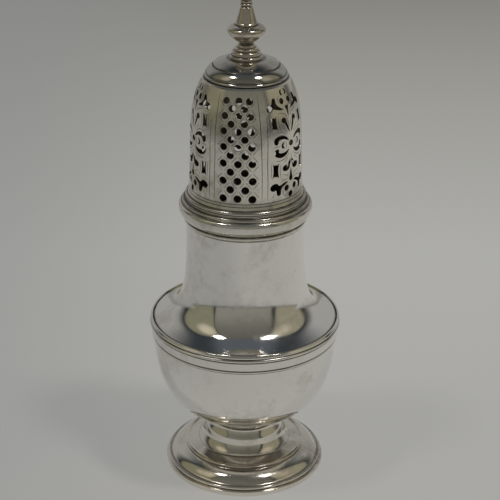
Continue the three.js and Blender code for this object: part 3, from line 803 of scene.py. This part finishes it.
def curve_plate(plate, lines, rows):
    """Takes every point to its place in the wall. Those at the ends snap to a row, so that thirds meet."""
    for vertex in plate.data.vertices:
        across, up, out = vertex.co
        at_end = min(abs(across - PLATE_START), abs(across - PLATE_END)) < 1e-4
        if at_end and 0.1 < up < WALL_HEIGHT - 0.1:
            up = min(rows, key=lambda row: abs(row - up))
        depth = COVER_WALL / 2 - out
        if depth < 1e-3 and from_groove(up) < 1e-3:
            depth = GROOVE_DEPTH
        vertex.co = on_wall(lines, across, up, depth)


def join_thirds(plate):
    thirds = [plate]
    for third in (1, 2):
        work_on(plate)
        bpy.ops.object.duplicate()
        copy = bpy.context.object
        copy.data.transform(Matrix.Rotation(math.radians(120.0 * third), 4, "Z"))
        thirds.append(copy)
    clear_selection()
    for third in thirds:
        third.select_set(True)
    bpy.context.view_layer.objects.active = plate
    bpy.ops.object.join()


def pierced_wall(finish, inside, crease):
    lines, rows = wall_lines(), cut_rows()
    plate, bars = flat_plate(lines), engraving()
    for part in (plate, bars):
        for material in (finish, inside, crease):
            part.data.materials.append(material)
    for face in bars.data.polygons:
        face.material_index = CREASE
    merge_points(bars, MERGE_GAP)
    merge_points(plate, MERGE_GAP)
    engrave(plate, bars)
    cut_grid(plate, rows)
    colour_faces(plate)
    curve_plate(plate, lines, rows)
    join_thirds(plate)
    return finish_mesh(plate, WALL_CRISP)


# Finishes

class Signal:
    """One output of a node, which can be used in sums."""

    def __init__(self, board, socket):
        self.board, self.socket = board, socket

    def out(self, name):
        return Signal(self.board, self.socket.node.outputs[name])

    def __add__(self, other):
        return self.board.maths("ADD", self, other)

    def __sub__(self, other):
        return self.board.maths("SUBTRACT", self, other)

    def __rsub__(self, other):
        return self.board.maths("SUBTRACT", other, self)

    def __mul__(self, other):
        return self.board.maths("MULTIPLY", self, other)

    def __truediv__(self, other):
        return self.board.maths("DIVIDE", self, other)

    def __abs__(self):
        return self.board.maths("ABSOLUTE", self)

    __radd__ = __add__
    __rmul__ = __mul__


class Board:
    """The nodes of one finish, of the floor or of the studio."""

    def __init__(self, owner):
        owner.use_nodes = True
        self.tree = owner.node_tree
        self.tree.nodes.clear()

    def node(self, kind, settings=(), sockets=(), out=0):
        made = self.tree.nodes.new(kind)
        for name, value in dict(settings).items():
            if name == "stops":
                self.set_stops(made.color_ramp.elements, value)
            else:
                setattr(made, name, value)
        for name, value in dict(sockets).items():
            if isinstance(value, Signal):
                self.tree.links.new(value.socket, made.inputs[name])
            else:
                made.inputs[name].default_value = value
        return Signal(self, made.outputs[out]) if made.outputs else made

    def set_stops(self, elements, stops):
        while len(elements) < len(stops):
            elements.new(0.5)
        for element, (place, colour) in zip(elements, stops):
            element.position = place
            element.color = (*colour, 1.0)

    def ramp(self, share, *stops):
        return self.node("ShaderNodeValToRGB", {"stops": stops}, {"Fac": share})

    def maths(self, operation, first, second=0.0):
        return self.node("ShaderNodeMath", {"operation": operation}, {0: first, 1: second})

    def most(self, first, second):
        return self.maths("MAXIMUM", first, second)

    def blend(self, share, first, second):
        first, second = (c if isinstance(c, Signal) else (*c, 1.0) for c in (first, second))
        return self.node("ShaderNodeMix", {"data_type": "RGBA"}, {0: share, 6: first, 7: second}, 2)

    def ease(self, value, low, high, to_low=0.0, to_high=1.0):
        return self.node("ShaderNodeMapRange", {"interpolation_type": "SMOOTHSTEP"}, {
            "Value": value, "From Min": low, "From Max": high, "To Min": to_low, "To Max": to_high})

    def noise(self, place, scale, detail=2.0, roughness=0.5, distortion=0.0):
        return self.node("ShaderNodeTexNoise", {}, {
            "Vector": place, "Scale": scale, "Detail": detail, "Roughness": roughness,
            "Distortion": distortion})

    def place(self):
        return self.node("ShaderNodeTexCoord", out="Object")

    def part(self, place, axis):
        return self.node("ShaderNodeSeparateXYZ", {}, {0: place}, axis)

    def stretched(self, place, turn, size):
        return self.node("ShaderNodeMapping", {}, {"Vector": place, "Rotation": turn, "Scale": size})

    def relief(self, height, strength, distance):
        return self.node("ShaderNodeBump", {}, {"Strength": strength, "Distance": distance, "Height": height})


WEAR_LINES = (  # turn and stretch of three layers of fine scratches
    ((0.3, 0.2, 0.5), (500.0, 9000.0, 9000.0)),
    ((1.1, 0.4, 2.1), (9000.0, 600.0, 9000.0)),
    ((0.7, 1.3, 0.2), (9000.0, 9000.0, 450.0)))
SOOT = (0.06, 0.048, 0.034)


def silver(name, creases, polish, veil, haze=0.05, ripple=0.35, tone=(0.93, 0.91, 0.87),
           tarnish=(0.30, 0.24, 0.15)):
    """Old polished silver: fine wear lines, a thin warm veil in patches, and brown tarnish in its creases.
    A crease is (height, half width, strength), the first two in millimetres."""
    finish = bpy.data.materials.new(name)
    board = Board(finish)
    place = board.place()
    height = board.part(place, "Z") * 1000.0

    clouds = board.noise(place, 60.0, 4.0, 0.6, 0.4)
    flecks = board.noise(place, 420.0, 3.0, 0.65)
    patches = board.ease(clouds * 0.7 + flecks * 0.3, 0.46, 0.72) * veil
    dirt = 0.0
    for level, half_width, strength in creases:
        dirt = board.most(board.ease(abs(height - level), half_width, 0.0, 0.0, strength), dirt)
    dirt = board.ease(flecks, 0.2, 0.55, 0.6, 1.0) * dirt
    soiled = board.most(patches, dirt)

    wear = 0.0
    for turn, size in WEAR_LINES:
        scratches = board.noise(board.stretched(place, turn, size), 1.0, 1.0, 0.4)
        wear = board.most(board.ease(scratches, 0.6, 0.72), wear)

    waves = board.noise(place, 130.0, 2.0, 0.4) * ripple * 6.0 + flecks * ripple * 0.6 - wear * 0.12
    shader = board.node("ShaderNodeBsdfPrincipled", {}, {
        "Base Color": board.blend(dirt, board.blend(patches, tone, tarnish), SOOT),
        "Metallic": 1.0 - soiled * 0.25,
        "Roughness": polish + wear * haze + soiled * 0.3 + board.ease(clouds, 0.35, 0.75) * haze,
        "Normal": board.relief(waves, 1.0, 0.00001)})
    board.node("ShaderNodeOutputMaterial", {}, {"Surface": shader})
    return finish


def dull_inside():
    """The unpolished inside: grey and brown, matt enough to keep only soft light."""
    finish = bpy.data.materials.new("silver_inside")
    board = Board(finish)
    place = board.place()
    stains = board.noise(place, 110.0, 4.0, 0.62, 0.5)
    shader = board.node("ShaderNodeBsdfPrincipled", {}, {
        "Base Color": board.blend(board.ease(stains, 0.35, 0.7), (0.30, 0.265, 0.21), (0.09, 0.07, 0.048)),
        "Metallic": 0.9,
        "Roughness": board.ease(stains, 0.3, 0.75, 0.32, 0.55),
        "Normal": board.relief(board.noise(place, 700.0, 3.0, 0.6), 0.6, 0.00003)})
    board.node("ShaderNodeOutputMaterial", {}, {"Surface": shader})
    return finish


def groove_tarnish():
    """Brown-black tarnish that fills engraved lines."""
    finish = bpy.data.materials.new("groove_tarnish")
    board = Board(finish)
    grime = board.noise(board.place(), 900.0, 3.0, 0.6)
    shader = board.node("ShaderNodeBsdfPrincipled", {}, {
        "Base Color": board.blend(grime, (0.03, 0.024, 0.016), (0.11, 0.09, 0.06)),
        "Metallic": 0.6,
        "Roughness": board.ease(grime, 0.3, 0.7, 0.38, 0.6),
        "Normal": board.relief(grime, 0.5, 0.00002)})
    board.node("ShaderNodeOutputMaterial", {}, {"Surface": shader})
    return finish


# Table and studio. Directions are in degrees: turn to the right of the camera's side, rise from the table.

DEGREES = 180.0 / math.pi
LAMP_RISE = 66.0
LAMP_SIZE = 0.12  # metres


def floor_finish():
    """Pale grey table covering. As the camera and the silver see it, it glows with painted light of its own,
    so that
    shadows stay soft: a painted pool of light just behind the pot, fading far behind, and painted shade to
    the left.
    For the silver alone, it ends half a metre off on the camera's side."""
    finish = bpy.data.materials.new("table_grey")
    board = Board(finish)
    place = board.place()
    across = board.part(place, "X")
    back = across.out("Y")
    # Painted light: the glow is brightest just behind the pot and fades towards the front and far behind it.
    tone = board.ramp(
        (back + 0.1) / 0.7,
        (0.0, (0.20, 0.20, 0.198)), (0.36, (0.25, 0.25, 0.245)),
        (0.6, (0.19, 0.19, 0.182)), (1.0, (0.085, 0.084, 0.076)))
    # Painted shadow: towards the left the glow darkens to a cool grey.
    tone = board.blend(board.ease(across, 0.03, -0.15, 0.0, 0.75), tone, (0.12, 0.125, 0.133))
    grain = board.noise(place, 900.0, 3.0, 0.6)
    to_camera = board.node("ShaderNodeLightPath", out="Is Camera Ray")
    to_silver = to_camera.out("Is Glossy Ray")
    cloth = board.node("ShaderNodeBsdfPrincipled", {}, {
        "Base Color": (0.55, 0.55, 0.545, 1.0), "Roughness": 0.9, "Specular IOR Level": 0.1,
        "Emission Strength": 1.0,
        "Emission Color": board.blend(board.most(to_camera, to_silver), (0.0, 0.0, 0.0), tone),
        "Normal": board.relief(grain, 0.3, 0.0001)})
    distance = board.node("ShaderNodeVectorMath", {"operation": "LENGTH"}, {0: place}, "Value")
    away = board.maths("GREATER_THAN", distance, 0.5) * board.maths("LESS_THAN", back, 0.1)
    clear = board.node("ShaderNodeBsdfTransparent")
    mixed = board.node("ShaderNodeMixShader", {}, {0: away * to_silver, 1: cloth, 2: clear})
    board.node("ShaderNodeOutputMaterial", {}, {"Surface": mixed})
    return finish


def lay_floor():
    clear_selection()
    bpy.ops.mesh.primitive_circle_add(vertices=96, radius=2.5, fill_type="NGON")
    floor = bpy.context.object
    floor.name = floor.data.name = "table"
    floor.data.materials.append(floor_finish())


def dim_room(board, turn, rise):
    """Nearly black, paler behind the pot, faintly blue high overhead."""
    light = board.blend(board.ease(abs(turn), 112.0, 134.0), (0.03, 0.032, 0.034), (0.33, 0.33, 0.32))
    light = board.blend(board.ease(rise, 30.0, 60.0), light, (0.034, 0.04, 0.046))
    return board.blend(board.ease(rise, 64.0, 76.0), light, (0.085, 0.098, 0.115))


def side_screen(board, light, turn, rise, middle, lit, colour, glow):
    """A tall rounded screen whose edges are darker, with a glow where it is lit."""
    away = (abs(turn) - abs(middle)) / 30.0
    outer = board.maths("POWER", board.most(away, 0.0), 2.6)
    inner = board.maths("POWER", board.most(0.0 - away, 0.0), 9.0)
    upright = board.maths("POWER", abs(rise - 26.0) / 37.0, 2.6)
    this_side = board.maths("LESS_THAN" if middle < 0 else "GREATER_THAN", turn, 0.0)
    shape = outer + inner + upright + (1.0 - this_side) * 9.0
    glow_across = board.maths("POWER", abs(turn - lit) / 22.0, 2.0)
    glow_up = board.maths("POWER", abs(rise - 45.0) / 22.0, 2.0)
    cloth = board.blend(board.ease(glow_across + glow_up, 1.0, 0.0), colour, glow)
    edge = tuple(0.45 * part for part in colour)
    cloth = board.blend(board.ease(shape, 1.0, 0.35, 0.62, 1.0), edge, cloth)
    return board.blend(board.ease(shape, 1.0, 0.88), light, cloth)


def front_screen(board, light, turn, rise):
    """A wide grey screen on the camera's side, darker towards its top."""
    grey = board.ramp(
        rise / 72.0,
        (0.0, (0.225, 0.222, 0.195)), (0.45, (0.145, 0.142, 0.122)), (1.0, (0.10, 0.098, 0.086)))
    across = board.ease(turn, -52.5, -50.5) * board.ease(turn, 47.5, 45.5)
    upright = board.ease(rise, 74.0, 71.0) * board.ease(rise, -6.6, -6.0)
    return board.blend(across * upright, light, grey)


def add_lamp(name, turn, power):
    """A small square lamp a metre from the pot, which it faces."""
    data = bpy.data.lights.new(name, "AREA")
    data.shape = "SQUARE"
    data.size = LAMP_SIZE
    data.energy = power
    data.color = (1.0, 0.97, 0.92)
    lamp = bpy.data.objects.new(name, data)
    bpy.context.scene.collection.objects.link(lamp)
    spin, lift = math.radians(turn), math.radians(LAMP_RISE)
    place = Vector((math.cos(lift) * math.sin(spin), -math.cos(lift) * math.cos(spin), math.sin(lift)))
    lamp.matrix_world = Matrix.Translation(place) @ place.to_track_quat("Z", "Y").to_matrix().to_4x4()


def light_studio():
    """A dim room with a wide grey screen in front, and an olive screen and a high lamp on either side."""
    world = bpy.data.worlds.new("studio")
    bpy.context.scene.world = world
    board = Board(world)
    across = board.part(board.node("ShaderNodeTexCoord", out="Generated"), "X")
    turn = board.maths("ARCTAN2", across, 0.0 - across.out("Y")) * DEGREES
    rise = board.maths("ARCSINE", across.out("Z")) * DEGREES
    light = dim_room(board, turn, rise)
    light = side_screen(board, light, turn, rise, -83.0, -73.0, (0.205, 0.20, 0.14), (0.50, 0.455, 0.35))
    light = side_screen(board, light, turn, rise, 82.0, 73.0, (0.27, 0.257, 0.19), (0.44, 0.40, 0.32))
    light = front_screen(board, light, turn, rise)
    light = board.blend(board.ease(rise, -6.0, -7.0), light, (0.05, 0.05, 0.05))
    plain = board.node("ShaderNodeBackground", {}, {"Color": light, "Strength": 1.0})
    board.node("ShaderNodeOutputWorld", {}, {"Surface": plain})
    add_lamp("lamp_left", -66.0, 0.55)
    add_lamp("lamp_right", 61.0, 1.0)


# The pepper pot

bpy.context.scene.view_settings.view_transform = "Standard"
light_studio()
lay_floor()

foot_silver = silver(
    "foot_silver", polish=0.075, veil=0.55, ripple=0.2, tone=(0.84, 0.80, 0.73), tarnish=(0.27, 0.21, 0.14),
    creases=((1.83, 0.24, 1.0), (2.84, 0.2, 0.7), (STEP_TOP - 0.14, 0.3, 1.0), (STEP_TOP + 1.26, 0.08, 0.4),
             (15.4, 0.3, 1.0), (18.0, 0.6, 1.0)))
body_silver = silver(
    "body_silver", polish=0.05, veil=0.4, haze=0.04, tarnish=(0.48, 0.41, 0.33),
    creases=((BOWL_FOOT + 0.6, 1.5, 0.9), (SEAM - 2.78, 0.4, 1.0), (SEAM + 3.1, 0.26, 1.0),
             (LIP - 6.42, 0.3, 0.9)))
moulding_silver = silver(
    "moulding_silver", polish=0.06, veil=0.3, tone=(0.90, 0.88, 0.83),
    creases=((SEAM - 2.6, 0.16, 1.0), (SEAM - 1.86, 0.36, 1.0), (SEAM + 0.98, 0.42, 1.0),
             (SEAM + 2.17, 0.36, 1.0)))
collar_silver = silver(
    "collar_silver", polish=0.12, veil=0.45, ripple=0.15, tone=(0.80, 0.77, 0.70), tarnish=(0.28, 0.22, 0.15),
    creases=((LIP - 6.25, 0.2, 1.0), (LIP - 4.95, 0.32, 1.0), (LIP - 0.1, 0.16, 1.0)))
cover_silver = silver(
    "cover_silver", polish=0.17, veil=0.6, haze=0.08, ripple=0.6, tone=(0.86, 0.82, 0.74),
    tarnish=(0.22, 0.17, 0.11), creases=((WALL_FOOT, 0.35, 1.0), (WALL_TOP, 0.35, 0.95)))
rim_silver = silver(
    "rim_silver", polish=0.12, veil=0.45, ripple=0.2, tone=(0.60, 0.57, 0.51), tarnish=(0.19, 0.155, 0.11),
    creases=((LIP + 1.08, 0.3, 1.0), (LIP + 1.78, 0.2, 1.0), (WALL_FOOT - 0.05, 0.25, 1.0)))
cap_silver = silver(
    "cap_silver", polish=0.07, veil=0.45, haze=0.04, ripple=0.5, tone=(0.56, 0.54, 0.50),
    tarnish=(0.17, 0.14, 0.10),
    creases=((WALL_TOP + 0.05, 0.18, 1.0), (WALL_TOP + 1.1, 0.22, 1.0), (CAP_FOOT + 0.02, 0.15, 0.9),
             (CAP_FOOT + 2.1, 0.32, 1.0), (CAP_TOP - 0.05, 0.15, 0.7)))
finial_silver = silver(
    "finial_silver", polish=0.09, veil=0.6, haze=0.06, tone=(0.70, 0.64, 0.56), tarnish=(0.16, 0.12, 0.075),
    creases=[(CAP_TOP + level, half_width, 1.0) for level, half_width in (
        (0.0, 0.15), (1.05, 0.2), (2.37, 0.18), (3.36, 0.14), (4.3, 0.4), (9.85, 0.22), (15.2, 0.35),
        (16.1, 0.15), (17.0, 0.25))])
silver_inside = dull_inside()
groove = groove_tarnish()

dress(turned("foot_rim", foot_rim_section()), "pot", "foot_rim", "foot_silver", foot_silver)
dress(turned("foot_base", foot_base_section()), "pot", "foot_base", "foot_silver", foot_silver)
dress(turned("spool", spool_section()), "pot", "spool", "foot_silver", foot_silver)
dress(turned("stem_collar", stem_collar_section()), "pot", "stem_collar", "moulding_silver", foot_silver)
dress(turned("bowl", bowl_section()), "pot", "bowl", "body_silver", body_silver)
dress(turned("upper_body", upper_body_section()), "pot", "upper_body", "body_silver", body_silver)
dress(turned("girdle_band", girdle_section()), "pot", "girdle_band", "moulding_silver", moulding_silver)
dress(turned("neck_collar", neck_collar_section()), "pot", "neck_collar", "moulding_silver", collar_silver)
dress(turned("cover_sleeve", cover_sleeve_section()), "cover", "cover_sleeve", "cover_silver", cover_silver)
dress(turned("cover_rim", cover_rim_section()), "cover", "cover_rim", "cover_silver", rim_silver)
dress(pierced_wall(cover_silver, silver_inside, groove), "cover", "pierced_shell", "cover_silver")
dress(turned("cap_wire", cap_wire_section()), "cover", "cap_wire", "cover_silver", cap_silver)
dress(turned("cap", cap_section()), "cover", "cap", "cover_silver", cap_silver)
dress(turned("finial", finial_section()), "cover", "finial", "finial_silver", finial_silver)
